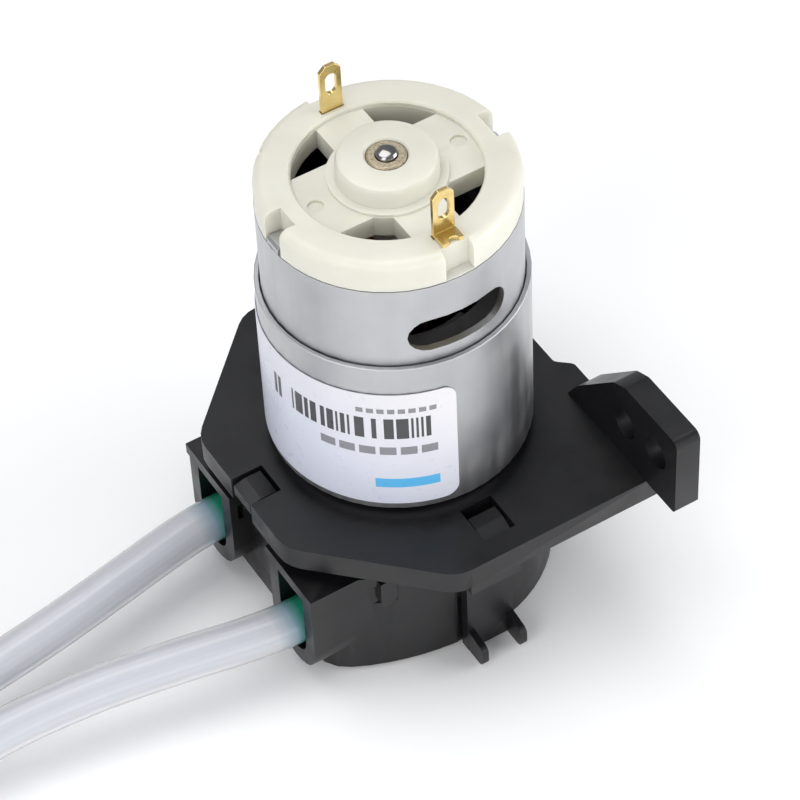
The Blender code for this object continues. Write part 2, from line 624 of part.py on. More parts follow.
def core_outline():
    """Three poles round a hub: each an arm with a curved shoe."""
    shoe_in = CORE_R - POLE_SHOE_T
    root = math.degrees(math.asin(POLE_HALF_WIDTH / CORE_HUB_R))
    neck = math.degrees(math.asin(POLE_HALF_WIDTH / shoe_in))
    outline = []
    for pole in (0, 120, 240):
        outline += arc(CORE_HUB_R, pole - 120 + root, pole - root, 4)
        outline += arc(shoe_in, pole - neck, pole - POLE_HALF_ANGLE, 5)
        outline += arc(CORE_R, pole - POLE_HALF_ANGLE, pole + POLE_HALF_ANGLE, 12)
        outline += arc(shoe_in, pole + POLE_HALF_ANGLE, pole + neck, 5)
    return outline


def coil():
    half = POLE_HALF_WIDTH + SEAT + COIL_SIDE
    low, high = CORE_Z[0] - COIL_OVERHANG, CORE_Z[1] + COIL_OVERHANG
    corners = [(-half, low, 1.2), (half, low, 1.2), (half, high, 1.2), (-half, high, 1.2)]
    return prism(rounded(corners), COIL_FROM_R, COIL_TO_R, across=2)


def coil_hole():
    half = POLE_HALF_WIDTH + SEAT
    outline = [(-half, CORE_Z[0] - SEAT), (half, CORE_Z[0] - SEAT), (half, CORE_Z[1] + SEAT),
               (-half, CORE_Z[1] + SEAT)]
    return prism(outline, COIL_FROM_R - 1, COIL_TO_R + 1, across=2)


# ================================================================ pump head, standing parts
def head_outline(grow=0.0):
    """The cup in plan: round on the right, drawn out to a flat end on the left."""
    radius = HEAD_R + grow
    right = arc(radius, -90, 90, 32)
    left = []
    for step in range(1, 9):
        x = -15.0 * step / 8
        left.append((x, radius * math.sqrt(1 - (x / (HEAD_LEFT_A + grow)) ** 2)))
    end = HEAD_LEFT
    left += [(end + 0.7, left[-1][1] - 0.9), (end, left[-1][1] - 2.0)]
    return right + left + flip_y(left)


def port_outline(side, half, top):
    """A port's (y, z) outline: straight sides on a half-round bottom."""
    centre = (side * PORT_Y, PORT_CENTRE_Z)
    return arc(half, 180, 360, 12, centre) + [(centre[0] + half, top), (centre[0] - half, top)]


def leg_line(side):
    """Middle line of one leg of the pump tube: straight out of the port, then bending onto the track.

    Each point comes with how far the tube is flattened there: 0 round, 1 flat."""
    start = Vector((COLLAR_X[1] + SEAT, side * PORT_Y))
    knee = Vector((LEG_KNEE_X, side * PORT_Y))
    angle = math.atan2(knee.y, knee.x) - side * math.acos(TUBE_MID_R / knee.length)
    onto = Vector((TUBE_MID_R * math.cos(angle), TUBE_MID_R * math.sin(angle)))
    line = []
    for step in range(LEG_STEPS + 1):
        t = step / LEG_STEPS
        line.append((start * (1 - t) ** 2 + knee * 2 * t * (1 - t) + onto * t ** 2, t))
    return line


def direction(line, index):
    """The way a line of (point, flattening) runs at one of its points."""
    before = line[max(index - 1, 0)][0]
    after = line[min(index + 1, len(line) - 1)][0]
    return (after - before).normalized()


def leg_outline(side):
    """Room in plan for one leg of the pump tube."""
    line = leg_line(side)
    left, right = [], []
    for index, (point, flat) in enumerate(line):
        along = direction(line, index)
        across = Vector((-along.y, along.x)) * (HOSE_R + (TUBE_FLAT_T / 2 - HOSE_R) * flat + LEG_ROOM)
        left.append(point + across)
        right.append(point - across)
    back = Vector((-1.0, 0.0))
    outline = [left[0] + back] + left + right[::-1] + [right[0] + back]
    return [tuple(point) for point in outline]


def make_housing(black):
    high = HEAD_TOP + 1
    ports = [prism(port_outline(side, PORT_WIDTH / 2, HEAD_TOP - 0.02), PORT_LEFT, PORT_ROOT_X, across=2)
             for side in (-1, 1)]
    made = piece("pump_housing", cup_body(), black, ports, [rod(TRACK_R, (HEAD_FLOOR, high), 64)])
    change(made, "legs", [prism(leg_outline(side), HOSE_Z - TUBE_FLAT_H / 2 - 0.55, high) for side in (-1, 1)])
    wide = LATCH_HALF_WIDTH + 0.45
    for word, side in (("front", -1), ("back", 1)):
        change(made, f"{word}_slot", [prism(port_outline(side, SLOT_WIDTH / 2, high), PORT_LEFT - 1,
                                            COLLAR_X[1] - SEAT, across=2)])
        change(made, f"{word}_collar_room", [prism(port_outline(side, COLLAR_R + SEAT, high + 1),
                                                   COLLAR_X[0] - SEAT, COLLAR_X[1] + 0.2, across=2)])
        gate = sorted((side * (PORT_Y - PORT_WIDTH / 2 - 1), side * (PORT_Y - 2)))
        change(made, f"{word}_gate", [block((PORT_LEFT + 0.9, COLLAR_X[0] - 0.6), gate, (LID_BOTTOM - 3.0, high + 2))])
        room = sorted((side * (LATCH_BACK_Y - LATCH_TRAVEL - 0.05), side * (HEAD_R + 1)))
        change(made, f"{word}_hook_room", [block((-wide, wide), room, (LATCH_PIVOT_Z + 0.6, high))])
        foot = sorted((side * (LATCH_BACK_Y - 0.3), side * (HEAD_R + 1)))
        change(made, f"{word}_finger_room", [block((-wide, wide), foot, (-1, LATCH_PIVOT_Z - 0.6))])
        rib = sorted((side * (LATCH_BACK_Y - SEAT), side * (HEAD_R + 1.2)))
        change(made, f"{word}_pivot_room", [block((-wide - 0.02, wide + 0.02), rib,
                                                  (LATCH_PIVOT_Z - 0.7, LATCH_PIVOT_Z + 0.7))])
        seat = sorted((side * CLIP_SEAT_Y, side * (HEAD_R + 1)))
        change(made, f"{word}_clip_seat", [block((CLIP_X[0] - 0.5, CLIP_X[1] + 0.15), seat,
                                                 (CLIP_BOTTOM - SEAT, high))])


def change(made, word, shapes, operation='DIFFERENCE'):
    """One more Boolean on a finished piece, with its own hidden helper."""
    boolean = made.modifiers.new(word, 'BOOLEAN')
    boolean.operation = operation
    boolean.solver = 'EXACT'
    boolean.object = helper(f"{made.name}.{word}", together(shapes), None)


def cup_body():
    """The cup's outside with a small chamfer round the foot."""
    shape = bmesh.new()
    levels = ((head_outline(-0.7), 0.0), (head_outline(), 0.7), (head_outline(), HEAD_TOP))
    rings = []
    for outline, z in levels:
        rings.append([shape.verts.new((x * MM, y * MM, z * MM)) for x, y in outline])
    count = len(rings[0])
    for lower, upper in zip(rings, rings[1:]):
        for index in range(count):
            after = (index + 1) % count
            shape.faces.new((lower[index], lower[after], upper[after], upper[index]))
    shape.faces.new(rings[0][::-1])
    shape.faces.new(rings[-1])
    bmesh.ops.recalc_face_normals(shape, faces=shape.faces)
    return shape


def make_cover(black):
    lid = prism(head_outline(LID_OVERHANG / 2), LID_BOTTOM, LID_TOP)
    added = []
    half = PORT_WIDTH / 2 + LID_OVERHANG
    for side in (-1, 1):
        wing = sorted((side * (PORT_Y - half), side * (PORT_Y + half)))
        added.append(block((PORT_LEFT - LID_OVERHANG / 2, -12.0), wing, (LID_BOTTOM + 0.01, LID_TOP - 0.01)))
    raised = sleeve(HEAD_R - 0.2, CENTRE_HOLE_R, (LID_TOP - 0.3, PLATE_BOTTOM - SEAT), 64)
    nose = TONGUE_X[0]
    stem = [(TONGUE_X[1], LID_BOTTOM + 0.02), (TONGUE_X[1], HOOK_TOP + 0.1), (TONGUE_STEM_X - 0.4, HOOK_TOP + 0.1),
            (nose, HOOK_TOP - 0.3), (nose, PLATE_TOP - 2.0), (TONGUE_STEM_X, PLATE_TOP - 2.3),
            (TONGUE_STEM_X, LID_BOTTOM + 0.02)]
    tongue = prism(stem, -TONGUE_HALF_WIDTH, TONGUE_HALF_WIDTH, across=1)
    made = piece("head_cover", lid, black, added)
    low = LID_BOTTOM - 1
    cutters = [rod(CENTRE_HOLE_R - 0.3, (low, PLATE_TOP), 48)]
    wide = LATCH_HALF_WIDTH + 0.45
    clips = []
    for side in (-1, 1):
        room = sorted((side * (LATCH_BACK_Y - LATCH_TRAVEL - 0.2), side * (HEAD_R + 1)))
        cutters.append(block((-wide, wide), room, (low, PLATE_TOP)))
        radius = (CLIP_X[1] - CLIP_X[0]) / 2
        middle = (CLIP_X[0] + CLIP_X[1]) / 2
        tab = arc(radius, 180, 360, 8, (middle, CLIP_BOTTOM + radius)) + [(CLIP_X[1], LID_TOP - 0.4),
                                                                          (CLIP_X[0], LID_TOP - 0.4)]
        reach = sorted((side * (CLIP_SEAT_Y + SEAT), side * (CLIP_SEAT_Y + 1.2)))
        clips.append(prism(tab, *reach, across=1))
    change(made, "raised", [raised], 'UNION')
    change(made, "tongue", [tongue] + clips, 'UNION')
    change(made, "rooms", cutters)


def make_connectors(green):
    """The barbed joiners in the ports; their outer barbs sit inside the outlet hoses."""
    for name, side in (("connector_front", -1), ("connector_back", 1)):
        low, high = COLLAR_X
        stub = HOSE_BORE_R - 0.25
        profile = [(0.8, low), (COLLAR_R - 0.3, low), (COLLAR_R, low + 0.3), (COLLAR_R, high - 0.3),
                   (COLLAR_R - 0.3, high), (stub, high), (stub, high + STUB_LENGTH - 0.4),
                   (stub - 0.2, high + STUB_LENGTH), (0.8, high + STUB_LENGTH)]
        shape = turn(turned(profile, 20), 90, 'Y')
        bmesh.ops.translate(shape, verts=shape.verts, vec=Vector((0, side * PORT_Y, HOSE_Z)) * MM)
        across = (side * PORT_Y - GRIP_HALF_WIDTH, side * PORT_Y + GRIP_HALF_WIDTH)
        grip = block((low + 0.15, high - 0.15), across, (HOSE_Z + stub + 0.5, GRIP_TOP))
        piece(name, shape, green, [grip])


def tube_path():
    """Middle line of the tube inside the head, with how far it is flattened (0 round, 1 flat)."""
    front = leg_line(-1)
    onto = front[-1][0]
    angle = math.degrees(math.atan2(onto.y, onto.x))
    loop = [(Vector(point), 1.0) for point in arc(TUBE_MID_R, angle, -angle, 32)]
    return front + loop[1:-1] + leg_line(1)[::-1]


def make_pump_tube(silicone):
    """The tube on the track: round at its ends, pressed flat where the rollers run over it."""
    path = tube_path()
    shape = bmesh.new()
    skins = []
    sides = 12
    for index, (point, flat) in enumerate(path):
        along = direction(path, index)
        if index in (0, len(path) - 1):
            along = Vector((1.0 if index == 0 else -1.0, 0.0))
        across = Vector((-along.y, along.x))
        half_t = HOSE_R + (TUBE_FLAT_T / 2 - HOSE_R) * flat
        half_h = HOSE_R + (TUBE_FLAT_H / 2 - HOSE_R) * flat
        bore_t = HOSE_BORE_R + (0.06 - HOSE_BORE_R) * flat
        bore_h = HOSE_BORE_R + (TUBE_FLAT_H / 2 - 1.0 - HOSE_BORE_R) * flat
        rings = []
        for wide, tall in ((half_t, half_h), (bore_t, bore_h)):
            ring = []
            for side in range(sides):
                turned_by = 2 * math.pi * side / sides
                spot = point + across * wide * math.cos(turned_by)
                ring.append(shape.verts.new((spot.x * MM, spot.y * MM, (HOSE_Z + tall * math.sin(turned_by)) * MM)))
            rings.append(ring)
        skins.append(rings)
    for first, second in zip(skins, skins[1:]):
        for skin in (0, 1):
            for side in range(sides):
                after = (side + 1) % sides
                shape.faces.new((first[skin][side], first[skin][after], second[skin][after], second[skin][side]))
    for outer, inner in (skins[0], skins[-1]):
        for side in range(sides):
            after = (side + 1) % sides
            shape.faces.new((outer[side], outer[after], inner[after], inner[side]))
    bmesh.ops.recalc_face_normals(shape, faces=shape.faces)
    piece("pump_tube", shape, silicone)


def hose_points(side):
    """The outlet hose's middle line, from just in front of its connector."""
    return [Vector((COLLAR_X[0] - HOSE_GAP - away, side * (PORT_Y - inward), HOSE_Z + up))
            for away, inward, up in HOSE_RUN]


def smooth_line(points, step):
    """Points read every step along a smooth curve through the given ones."""
    spots = list(points)
    padded = [spots[0] * 2 - spots[1]] + spots + [spots[-1] * 2 - spots[-2]]
    fine = []
    for a, b, c, d in zip(padded, padded[1:], padded[2:], padded[3:]):
        for part in range(20):
            t = part / 20
            fine.append(0.5 * (2 * b + (c - a) * t + (2 * a - 5 * b + 4 * c - d) * t ** 2
                               + (3 * b - a - 3 * c + d) * t ** 3))
    fine.append(spots[-1])
    total = sum((b - a).length for a, b in zip(fine, fine[1:]))
    count = max(2, round(total / step))
    wanted, walked, line = total / count, 0.0, [fine[0]]
    for first, second in zip(fine, fine[1:]):
        walked += (second - first).length
        if walked >= wanted * len(line) - 1e-9 and len(line) < count:
            line.append(second)
    line.append(fine[-1])
    return line


def make_hose(name, side, silicone):
    points = hose_points(side)
    curve = bpy.data.curves.new(name, 'CURVE')
    curve.dimensions = '3D'
    curve.bevel_depth = HOSE_R * MM
    curve.bevel_resolution = 3
    curve.use_fill_caps = True
    line = points[:1] + smooth_line(points[1:], HOSE_STEP)
    spline = curve.splines.new('POLY')
    spline.points.add(len(line) - 1)
    for place, spot in zip(spline.points, line):
        place.co = (*(spot * MM), 1.0)
    hose = bpy.data.objects.new(name, curve)
    hose.data.materials.append(silicone)
    bpy.context.collection.objects.link(hose)


# ================================================================ latches
def latch_outline(side):
    """A latch arm's (y, z) outline, finger end at the bottom, hook at the top."""
    back, front = LATCH_BACK_Y, LATCH_FRONT_Y
    catch = PLATE_TOP - LEDGE_DEPTH + SEAT
    tip = front + HOOK_REACH
    points = [(back, LATCH_BOTTOM), (front, LATCH_BOTTOM), (front, catch), (tip, catch), (tip, catch + HOOK_LIP),
              (front + HOOK_RIDGE, HOOK_TOP), (back, HOOK_TOP)]
    return [(side * y, z) for y, z in points]


def make_latch(name, side, black):
    pivot = empty(f"{name}_axis", (0.0, side * LATCH_BACK_Y, LATCH_PIVOT_Z))
    arm = prism(latch_outline(side), -LATCH_HALF_WIDTH, LATCH_HALF_WIDTH, across=2)
    ribs, cuts = [], []
    reach = LATCH_FRONT_Y + LATCH_RIB_REACH
    for edge in (-1, 1):
        x = sorted((edge * (LATCH_HALF_WIDTH - 0.02), edge * (LATCH_HALF_WIDTH - LATCH_RIB_T)))
        points = [(LATCH_FRONT_Y - 0.5, LATCH_BOTTOM + 0.02, 0.0), (reach, LATCH_BOTTOM + 0.02, 0.9),
                  (reach, LATCH_RIB_TOP, 0.9), (LATCH_FRONT_Y - 0.5, LATCH_RIB_TOP + 0.6, 0.0)]
        ribs.append(prism(rounded([(side * y, z, radius) for y, z, radius in points]), *x, across=2))
        shoulder = sorted((edge * HOOK_HALF_WIDTH, edge * (LATCH_HALF_WIDTH + 1)))
        span = sorted((side * (LATCH_BACK_Y - 1), side * (LATCH_FRONT_Y + HOOK_REACH + 1)))
        cuts.append(block(shoulder, span, (PLATE_BOTTOM - 0.9, HOOK_TOP + 1)))
    for shape in [arm] + ribs + cuts:
        bmesh.ops.translate(shape, verts=shape.verts, vec=-pivot.location)
    piece(name, arm, black, ribs, cuts, pivot)


# ================================================================ roller cage
def make_cage(moulding, steel, roller_finish):
    cage = empty("carrier_axis")
    low, high = ROLLER_Z
    discs = (("carrier_lower", (low - 0.2 - CAGE_T, low - 0.2), SHAFT_R + RUN),
             ("carrier_upper", (high + 0.2, high + 0.2 + CAGE_T), SUN_R + RUN + 0.2))
    spots = [(ORBIT_R * math.cos(math.radians(a)), ORBIT_R * math.sin(math.radians(a)))
             for a in (180 + 360 * index / ROLLER_COUNT for index in range(ROLLER_COUNT))]
    for name, z, bore in discs:
        cuts = [rod(PIN_R + SHAFT_FIT, (z[0] - 1, z[1] + 1), 20, spot) for spot in spots]
        posts = None
        if name == "carrier_lower":
            posts = cage_posts(z[1] - 0.3, high + 0.1)
        piece(name, sleeve(CAGE_R, bore, z), moulding, posts, cuts, cage)
    for index, spot in enumerate(spots):
        pin = rod(PIN_R, (low - 0.1 - CAGE_T, high + 0.1 + CAGE_T), 20)
        bmesh.ops.translate(pin, verts=pin.verts, vec=(spot[0] * MM, spot[1] * MM, 0))
        piece(f"roller_pin_{index + 1}", pin, steel, parent=cage)
        axis = empty(f"roller_axis_{index + 1}", (spot[0], spot[1], 0.0), cage)
        roller = turned([(PIN_R + SHAFT_FIT, low), (ROLLER_R - 0.4, low), (ROLLER_R, low + 0.4),
                         (ROLLER_R, high - 0.4), (ROLLER_R - 0.4, high), (PIN_R + SHAFT_FIT, high)], 28)
        piece(f"roller_{index + 1}", roller, roller_finish, parent=axis)


def cage_posts(low, high):
    """Three posts between the rollers, which hold the two cage discs apart."""
    radius = CAGE_R - 1.5
    posts = []
    for index in range(ROLLER_COUNT):
        angle = math.radians(180 + 360 * (index + 0.5) / ROLLER_COUNT)
        posts.append(rod(1.3, (low, high), 20, (radius * math.cos(angle), radius * math.sin(angle))))
    return posts


# ================================================================ the whole pump
def build():
    clear_scene()
    black = material("black_moulding", (0.028, 0.028, 0.03), 0.55)
    zinc = material("zinc_plated_steel", (0.62, 0.63, 0.65), 0.28, 1.0)
    nylon = material("natural_nylon", (0.83, 0.81, 0.70), 0.45)
    brass = material("brass_strip", (0.80, 0.60, 0.24), 0.3, 1.0)
    bronze = material("sintered_bronze", (0.42, 0.37, 0.28), 0.6, 1.0)
    steel = material("ground_steel", (0.5, 0.5, 0.52), 0.2, 1.0)
    iron = material("lamination_iron", (0.25, 0.25, 0.26), 0.45, 1.0)
    ferrite = material("ferrite", (0.05, 0.05, 0.055), 0.7)
    copper = material("enamelled_copper", (0.55, 0.22, 0.09), 0.3, 1.0)
    moulding = material("white_moulding", (0.75, 0.75, 0.72), 0.5)
    carbon = material("carbon", (0.06, 0.06, 0.06), 0.6)
    paper = material("label_film", (0.86, 0.86, 0.88), 0.35)
    green = material("green_moulding", (0.02, 0.42, 0.22), 0.4)
    silicone = material("clear_silicone", (0.78, 0.78, 0.80), 0.3)
    grey = material("roller_moulding", (0.35, 0.36, 0.38), 0.35)

    make_plate(black)
    make_can(zinc)
    make_ring(zinc)
    make_label(paper)
    make_magnets(ferrite, steel)
    make_bearings(bronze)
    make_cap(nylon)
    make_terminals(brass, carbon)
    make_screws(steel)
    make_rotor(empty("rotor_axis"), (steel, iron, copper, moulding, brass))
    make_housing(black)
    make_cover(black)
    make_connectors(green)
    make_pump_tube(silicone)
    make_hose("outlet_hose_front", -1, silicone)
    make_hose("outlet_hose_back", 1, silicone)
    make_latch("latch_front", -1, black)
    make_latch("latch_back", 1, black)
    make_cage(moulding, steel, grey)


build()
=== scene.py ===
"""The looks of a small peristaltic pump: softened mouldings, coiled windings, hollow hoses and finishes."""

import json
import math

import bmesh
import bpy
from mathutils import Matrix, Vector


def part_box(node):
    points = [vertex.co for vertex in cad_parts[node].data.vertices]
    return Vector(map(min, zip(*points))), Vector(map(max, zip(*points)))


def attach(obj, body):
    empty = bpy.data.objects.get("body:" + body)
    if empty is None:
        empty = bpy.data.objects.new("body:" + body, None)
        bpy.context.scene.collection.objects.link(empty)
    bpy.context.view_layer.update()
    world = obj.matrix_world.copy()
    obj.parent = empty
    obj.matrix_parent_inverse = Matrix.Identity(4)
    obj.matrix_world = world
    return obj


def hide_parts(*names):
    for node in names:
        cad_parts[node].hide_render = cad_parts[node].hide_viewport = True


MM = 0.001

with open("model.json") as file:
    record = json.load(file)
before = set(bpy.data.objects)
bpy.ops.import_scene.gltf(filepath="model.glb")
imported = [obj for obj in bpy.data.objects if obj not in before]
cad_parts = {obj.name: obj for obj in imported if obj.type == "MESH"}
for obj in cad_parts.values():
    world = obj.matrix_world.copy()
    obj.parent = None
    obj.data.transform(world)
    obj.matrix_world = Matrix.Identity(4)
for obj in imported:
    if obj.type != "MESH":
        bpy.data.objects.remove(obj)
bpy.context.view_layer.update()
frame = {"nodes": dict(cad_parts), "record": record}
RECORD = frame["record"]
BODY_OF = {node: body for body, nodes in RECORD["behaviour"]["bodies"].items() for node in nodes}
SLOT_OF = {part["node"]: part["material_slot"] for part in RECORD["subparts"]}

# ---------------------------------------------------------------- camera
VIEW_TURN = -29.452        # degrees round the motor, from straight in front
VIEW_HEIGHT = 47.251
VIEW_ROLL = -3.065
VIEW_DISTANCE = 380.31
VIEW_CENTRE = Vector((0.0, 0.0, 33.0))
LENS = 160.89
SHIFT = (0.0045, -0.0753)


def place_camera():
    turn, height, roll = (math.radians(angle) for angle in (VIEW_TURN, VIEW_HEIGHT, VIEW_ROLL))
    back = Vector((math.sin(turn) * math.cos(height), -math.cos(turn) * math.cos(height), math.sin(height)))
    level = Vector((math.cos(turn), math.sin(turn), 0.0))
    upright = back.cross(level)
    across = level * math.cos(roll) + upright * math.sin(roll)
    up = upright * math.cos(roll) - level * math.sin(roll)
    camera = bpy.data.objects.new("camera", bpy.data.cameras.new("camera"))
    camera.matrix_world = Matrix((across, up, back)).transposed().to_4x4()
    camera.location = (VIEW_CENTRE + back * VIEW_DISTANCE) * MM
    camera.data.lens = LENS
    camera.data.shift_x, camera.data.shift_y = SHIFT
    camera.data.clip_start = 0.01
    bpy.context.collection.objects.link(camera)
    bpy.context.scene.camera = camera


# ---------------------------------------------------------------- studio
def softbox(name, place, aim, size, power):
    light = bpy.data.objects.new(name, bpy.data.lights.new(name, 'AREA'))
    light.data.shape = 'RECTANGLE'
    light.data.size, light.data.size_y = size
    light.data.energy = power
    light.location = place
    light.rotation_euler = (Vector(aim) - Vector(place)).to_track_quat('-Z', 'Y').to_euler()
    bpy.context.collection.objects.link(light)


def build_studio():
    world = bpy.data.worlds.new("studio")
    world.use_nodes = True
    backdrop = world.node_tree.nodes["Background"]
    backdrop.inputs["Color"].default_value = (0.93, 0.95, 1.0, 1.0)
    backdrop.inputs["Strength"].default_value = 0.34
    bpy.context.scene.world = world
    bpy.context.scene.view_settings.view_transform = 'Standard'
    middle = (0.0, 0.0, 0.03)
    softbox("overhead", (-0.05, 0.1, 0.55), middle, (0.5, 0.5), 2.1)
    softbox("left_fill", (-0.5, -0.25, 0.3), middle, (0.35, 0.5), 1.5)
    softbox("right_fill", (0.5, -0.3, 0.2), middle, (0.45, 0.4), 2.3)
    softbox("front_low", (-0.08, -0.55, 0.12), middle, (0.6, 0.25), 1.0)
    shape = bmesh.new()
    bmesh.ops.create_grid(shape, x_segments=1, y_segments=1, size=2.5)
    floor = mesh_piece("floor", shape)
    floor.data.materials.append(floor_paper())


# ---------------------------------------------------------------- node helpers
MIX_FIRST, MIX_SECOND, MIX_RESULT = 6, 7, 2     # places of a Mix node's colour sockets


class Finish:
    """A material under construction, with short ways to add its nodes."""

    def __init__(self, name, colour, roughness, metallic=0.0):
        self.material = bpy.data.materials.new(name)
        self.material.use_nodes = True
        self.tree = self.material.node_tree
        self.shader = self.tree.nodes["Principled BSDF"]
        self.set(**{"Base Color": (*colour, 1.0), "Roughness": roughness, "Metallic": metallic})

    def set(self, **values):
        for socket, value in values.items():
            self.shader.inputs[socket.replace("_", " ")].default_value = value

    def link(self, output, target):
        self.tree.links.new(output, target)

    def node(self, kind, **settings):
        made = self.tree.nodes.new(kind)
        for key, value in settings.items():
            setattr(made, key, value)
        return made

    def place(self, stretch=(1.0, 1.0, 1.0), coordinate="Object"):
        source = self.node("ShaderNodeTexCoord")
        mapping = self.node("ShaderNodeMapping")
        mapping.inputs["Scale"].default_value = stretch
        self.link(source.outputs[coordinate], mapping.inputs["Vector"])
        return mapping.outputs["Vector"]

    def noise(self, scale, detail=3.0, stretch=(1.0, 1.0, 1.0)):
        made = self.node("ShaderNodeTexNoise")
        made.inputs["Scale"].default_value = scale
        made.inputs["Detail"].default_value = detail
        self.link(self.place(stretch), made.inputs["Vector"])
        return made.outputs["Fac"]

    def spread(self, value, low, high, from_low=0.3, from_high=0.7):
        """Map a value from one range to another, held at its ends."""
        made = self.node("ShaderNodeMapRange")
        limits = {"From Min": from_low, "From Max": from_high, "To Min": low, "To Max": high}
        for socket, number in limits.items():
            made.inputs[socket].default_value = number
        self.link(value, made.inputs["Value"])
        return made.outputs["Result"]

    def maths(self, first, second, operation):
        """Work on two values; either may be a socket."""
        made = self.node("ShaderNodeMath", operation=operation)
        for socket, value in zip(made.inputs, (first, second)):
            if isinstance(value, (int, float)):
                socket.default_value = value
            else:
                self.link(value, socket)
        return made.outputs["Value"]

    def mix(self, factor, first, second):
        """Mix two colours; either may be a socket."""
        made = self.node("ShaderNodeMix", data_type='RGBA')
        self.link(factor, made.inputs["Factor"])
        for place, colour in ((MIX_FIRST, first), (MIX_SECOND, second)):
            socket = made.inputs[place]
            if isinstance(colour, tuple):
                socket.default_value = (*colour, 1.0)
            else:
                self.link(colour, socket)
        return made.outputs[MIX_RESULT]

    def bump(self, height, depth, strength=1.0):
        """Raise the surface by height times depth, in metres, on top of any earlier bump."""
        made = self.node("ShaderNodeBump")
        made.inputs["Strength"].default_value = strength
        made.inputs["Distance"].default_value = depth
        self.link(height, made.inputs["Height"])
        if self.shader.inputs["Normal"].is_linked:
            self.link(self.shader.inputs["Normal"].links[0].from_socket, made.inputs["Normal"])
        self.link(made.outputs["Normal"], self.shader.inputs["Normal"])

    def colour(self, output):
        self.link(output, self.shader.inputs["Base Color"])

    def roughness(self, output):
        self.link(output, self.shader.inputs["Roughness"])


# ---------------------------------------------------------------- finishes
def floor_paper():
    made = Finish("floor_paper", (0.93, 0.93, 0.93), 0.9)
    made.colour(made.mix(made.noise(30.0), (0.925, 0.925, 0.925), (0.94, 0.94, 0.94)))
    return made.material


def black_moulding():
    """Satin black plastic: a fine spark-eroded grain, faint flow marks and a little handling haze."""
    made = Finish("black_moulding", (0.022, 0.022, 0.024), 0.42)
    haze = made.noise(140.0, 4.0)
    made.colour(made.mix(made.spread(haze, 0.0, 1.0), (0.0035, 0.0035, 0.0042), (0.0065, 0.0065, 0.0078)))
    made.roughness(made.spread(made.noise(260.0, 5.0), 0.28, 0.44))
    made.bump(made.noise(5200.0, 2.0), 0.00003, 0.35)
    made.bump(made.noise(420.0, 2.0, (1.0, 1.0, 0.3)), 0.00006, 0.25)
    made.set(Specular_IOR_Level=0.42)
    return made.material


def zinc_steel():
    """Bright zinc plate over drawn steel: long draw lines up the can and soft passivation clouds."""
    made = Finish("zinc_steel", (0.63, 0.64, 0.66), 0.3, 1.0)
    cloud = made.noise(160.0, 4.0)
    draw = made.noise(900.0, 3.0, (1.0, 1.0, 0.04))
    made.colour(made.mix(made.spread(cloud, 0.0, 1.0), (0.47, 0.48, 0.50), (0.57, 0.57, 0.575)))
    made.roughness(made.spread(made.maths(cloud, draw, 'MULTIPLY'), 0.4, 0.52, 0.15, 0.4))
    made.bump(draw, 0.000012, 0.5)
    made.bump(made.noise(2600.0, 3.0), 0.000006, 0.4)
    made.set(Anisotropic=0.3)
    return made.material


def natural_nylon():
    """Ivory nylon that lets a little light in, with soft sink marks."""
    made = Finish("natural_nylon", (0.84, 0.82, 0.72), 0.38)
    cloud = made.spread(made.noise(120.0, 3.0), 0.0, 1.0)
    made.colour(made.mix(cloud, (0.64, 0.625, 0.535), (0.70, 0.69, 0.61)))
    made.roughness(made.spread(made.noise(420.0, 4.0), 0.3, 0.46))
    made.bump(made.noise(260.0, 2.0), 0.00006, 0.3)
    made.bump(made.noise(3800.0, 2.0), 0.000012, 0.3)
    made.set(Subsurface_Weight=0.35, Subsurface_Radius=(0.9, 0.8, 0.55), Subsurface_Scale=0.0012)
    return made.material


def bright_brass():
    made = Finish("bright_brass", (0.86, 0.66, 0.27), 0.24, 1.0)
    tarnish = made.noise(520.0, 4.0)
    made.colour(made.mix(made.spread(tarnish, 0.0, 1.0), (0.72, 0.52, 0.19), (0.91, 0.73, 0.34)))
    made.roughness(made.spread(tarnish, 0.32, 0.18))
    made.bump(made.noise(2400.0, 2.0, (1.0, 1.0, 0.06)), 0.000008, 0.5)
    return made.material


def sintered_bronze():
    """Pressed and sintered metal powder: open pores, dark with oil."""
    made = Finish("sintered_bronze", (0.40, 0.34, 0.24), 0.5, 1.0)
    cells = made.node("ShaderNodeTexVoronoi")
    cells.inputs["Scale"].default_value = 5200.0
    made.link(made.place(), cells.inputs["Vector"])
    pores = made.spread(cells.outputs["Distance"], 0.0, 1.0, 0.05, 0.45)
    made.colour(made.mix(pores, (0.10, 0.08, 0.06), (0.52, 0.45, 0.33)))
    made.bump(pores, 0.00004, 0.7)
    return made.material


def ground_steel():
    made = Finish("ground_steel", (0.55, 0.55, 0.57), 0.16, 1.0)
    made.colour(made.mix(made.noise(700.0, 3.0), (0.26, 0.25, 0.25), (0.36, 0.35, 0.35)))
    made.roughness(made.spread(made.noise(1500.0, 3.0, (1.0, 1.0, 8.0)), 0.12, 0.24))
    return made.material


def lamination_iron():
    """A stack of pressed sheets, seen as fine lines round the core."""
    made = Finish("lamination_iron", (0.25, 0.25, 0.26), 0.4, 1.0)
    wave = made.node("ShaderNodeTexWave", bands_direction='Z')
    wave.inputs["Scale"].default_value = 320.0
    made.link(made.place(), wave.inputs["Vector"])
    made.colour(made.mix(wave.outputs["Fac"], (0.10, 0.10, 0.105), (0.34, 0.34, 0.35)))
    made.bump(wave.outputs["Fac"], 0.00003, 0.5)
    return made.material


def ferrite():
    made = Finish("ferrite", (0.045, 0.045, 0.05), 0.62)
    made.colour(made.mix(made.noise(600.0, 5.0), (0.03, 0.03, 0.034), (0.075, 0.075, 0.08)))
    made.bump(made.noise(1900.0, 4.0), 0.00003, 0.5)
    return made.material


